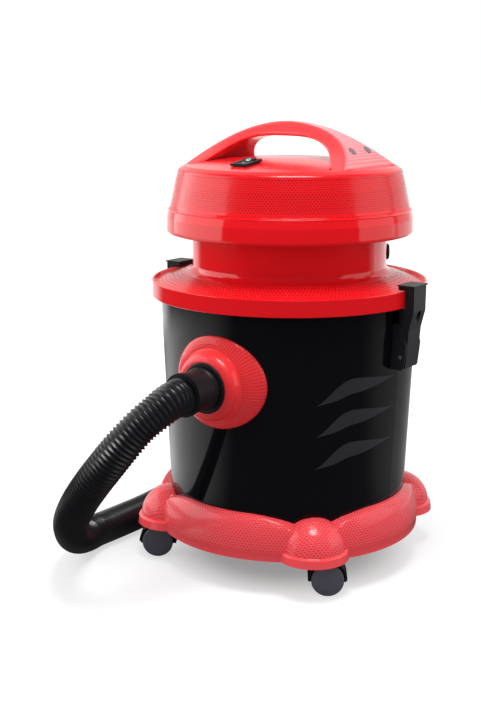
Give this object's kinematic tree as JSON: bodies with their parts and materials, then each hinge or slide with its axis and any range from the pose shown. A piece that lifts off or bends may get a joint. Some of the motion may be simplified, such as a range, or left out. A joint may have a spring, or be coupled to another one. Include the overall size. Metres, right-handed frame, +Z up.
{
  "type": "shop vacuum",
  "caption": "Round wet and dry shop vacuum with a tapered tank on casters, side clamps, a motor head with an arched carry handle and a stretch hose.",
  "frame": {"origin": "on the floor, on the tank's axis", "axes": "+Z up; the inlet and the rocker switch face -Y; the clamps and the handle lie along X, so +X is the part's right seen from behind the inlet, looking along -Y"},
  "size_m": [0.5607, 0.8115, 0.56],
  "materials": {
    "red": "moulded, fine dimpled grain with smooth bands",
    "black_gloss": "polished",
    "black": "satin",
    "wheel": "satin",
    "hose_vinyl": "ribbed, satin",
    "steel": "zinc plated",
    "light_alloy": "as cast",
    "iron": "laminated",
    "brass": "plain",
    "grey_plastic": "plain",
    "seal_rubber": "plain",
    "foam": "open-cell foam",
    "filter_fabric": "pleated"
  },
  "bodies": {
    "vacuum": {"dolly_ring": "red", "dolly_screws": "steel", "caster_bushes": "grey_plastic", "tank_drum": "black_gloss", "inlet_flange": "red", "inlet_socket": "black", "inlet_gasket": "seal_rubber", "inlet_nut": "black", "clamp_bracket_right": "black", "clamp_bracket_left": "black", "clamp_pin_right": "steel", "clamp_pin_left": "steel", "tank_lid": "red", "lid_seal": "seal_rubber", "cord_gland": "black", "neck_ring": "red", "head_tray": "red", "head_screws": "steel", "head_cover": "red", "carry_handle": "red", "handle_screws": "steel", "screw_caps": "grey_plastic", "switch_frame": "black", "motor_gasket": "seal_rubber", "fan_housing": "steel", "motor_stator": "iron", "motor_frame": "light_alloy", "motor_bearings": "steel", "brush_holders": "brass", "float_cage": "black", "filter_cartridge": "filter_fabric", "filter_cap": "black", "exhaust_foam": "foam", "hose_cuff": "black", "hose": "hose_vinyl", "hose_end": "black"},
    "caster_1": {"caster_hood_1": "black", "caster_axle_1": "steel"},
    "wheel_1a": {"caster_wheel_1a": "wheel"},
    "wheel_1b": {"caster_wheel_1b": "wheel"},
    "caster_2": {"caster_hood_2": "black", "caster_axle_2": "steel"},
    "wheel_2a": {"caster_wheel_2a": "wheel"},
    "wheel_2b": {"caster_wheel_2b": "wheel"},
    "caster_3": {"caster_hood_3": "black", "caster_axle_3": "steel"},
    "wheel_3a": {"caster_wheel_3a": "wheel"},
    "wheel_3b": {"caster_wheel_3b": "wheel"},
    "caster_4": {"caster_hood_4": "black", "caster_axle_4": "steel"},
    "wheel_4a": {"caster_wheel_4a": "wheel"},
    "wheel_4b": {"caster_wheel_4b": "wheel"},
    "clamp_right": {"clamp_lever_right": "black"},
    "clamp_left": {"clamp_lever_left": "black"},
    "rocker": {"switch_rocker": "black"},
    "rotor": {"rotor_shaft": "steel", "rotor_core": "iron", "fan_impeller": "light_alloy"},
    "float": {"float_cup": "grey_plastic"}
  },
  "joints": [
    {"name": "caster_swivel_1", "type": "hinge", "parent": "vacuum", "child": "caster_1", "pos_m": [0.10889, -0.10889, 0.045], "axis": [0, 0, 1], "continuous": true},
    {"name": "wheel_roll_1a", "type": "hinge", "parent": "caster_1", "child": "wheel_1a", "pos_m": [0.12399, -0.09909, 0.02], "axis": [-0.5446, 0.8387, 0], "continuous": true},
    {"name": "wheel_roll_1b", "type": "hinge", "parent": "caster_1", "child": "wheel_1b", "pos_m": [0.12399, -0.09909, 0.02], "axis": [-0.5446, 0.8387, 0], "continuous": true},
    {"name": "caster_swivel_2", "type": "hinge", "parent": "vacuum", "child": "caster_2", "pos_m": [-0.10889, -0.10889, 0.045], "axis": [0, 0, 1], "continuous": true},
    {"name": "wheel_roll_2a", "type": "hinge", "parent": "caster_2", "child": "wheel_2a", "pos_m": [-0.12399, -0.1187, 0.02], "axis": [0.5446, -0.8387, 0], "continuous": true},
    {"name": "wheel_roll_2b", "type": "hinge", "parent": "caster_2", "child": "wheel_2b", "pos_m": [-0.12399, -0.1187, 0.02], "axis": [0.5446, -0.8387, 0], "continuous": true},
    {"name": "caster_swivel_3", "type": "hinge", "parent": "vacuum", "child": "caster_3", "pos_m": [-0.10889, 0.10889, 0.045], "axis": [0, 0, 1], "continuous": true},
    {"name": "wheel_roll_3a", "type": "hinge", "parent": "caster_3", "child": "wheel_3a", "pos_m": [-0.12448, 0.11789, 0.02], "axis": [-0.5, -0.866, 0], "continuous": true},
    {"name": "wheel_roll_3b", "type": "hinge", "parent": "caster_3", "child": "wheel_3b", "pos_m": [-0.12448, 0.11789, 0.02], "axis": [-0.5, -0.866, 0], "continuous": true},
    {"name": "caster_swivel_4", "type": "hinge", "parent": "vacuum", "child": "caster_4", "pos_m": [0.10889, 0.10889, 0.045], "axis": [0, 0, 1], "continuous": true},
    {"name": "wheel_roll_4a", "type": "hinge", "parent": "caster_4", "child": "wheel_4a", "pos_m": [0.0938, 0.09909, 0.02], "axis": [0.5446, -0.8387, 0], "continuous": true},
    {"name": "wheel_roll_4b", "type": "hinge", "parent": "caster_4", "child": "wheel_4b", "pos_m": [0.0938, 0.09909, 0.02], "axis": [0.5446, -0.8387, 0], "continuous": true},
    {"name": "clamp_right_swing", "type": "hinge", "parent": "vacuum", "child": "clamp_right", "pos_m": [0.172, 0, 0.2845], "axis": [0, 1, 0], "range_deg": [0, 45]},
    {"name": "clamp_left_swing", "type": "hinge", "parent": "vacuum", "child": "clamp_left", "pos_m": [-0.172, 0, 0.2845], "axis": [0, -1, 0], "range_deg": [0, 45]},
    {"name": "rocker_tilt", "type": "hinge", "parent": "vacuum", "child": "rocker", "pos_m": [0, -0.095, 0.51123], "axis": [-1, 0, 0], "range_deg": [0, 18]},
    {"name": "rotor_spin", "type": "hinge", "parent": "vacuum", "child": "rotor", "pos_m": [0, 0, 0.43], "axis": [0, 0, 1], "continuous": true},
    {"name": "float_rise", "type": "slide", "parent": "vacuum", "child": "float", "axis": [0, 0, 1], "range_m": [0, 0.034]}
  ]
}
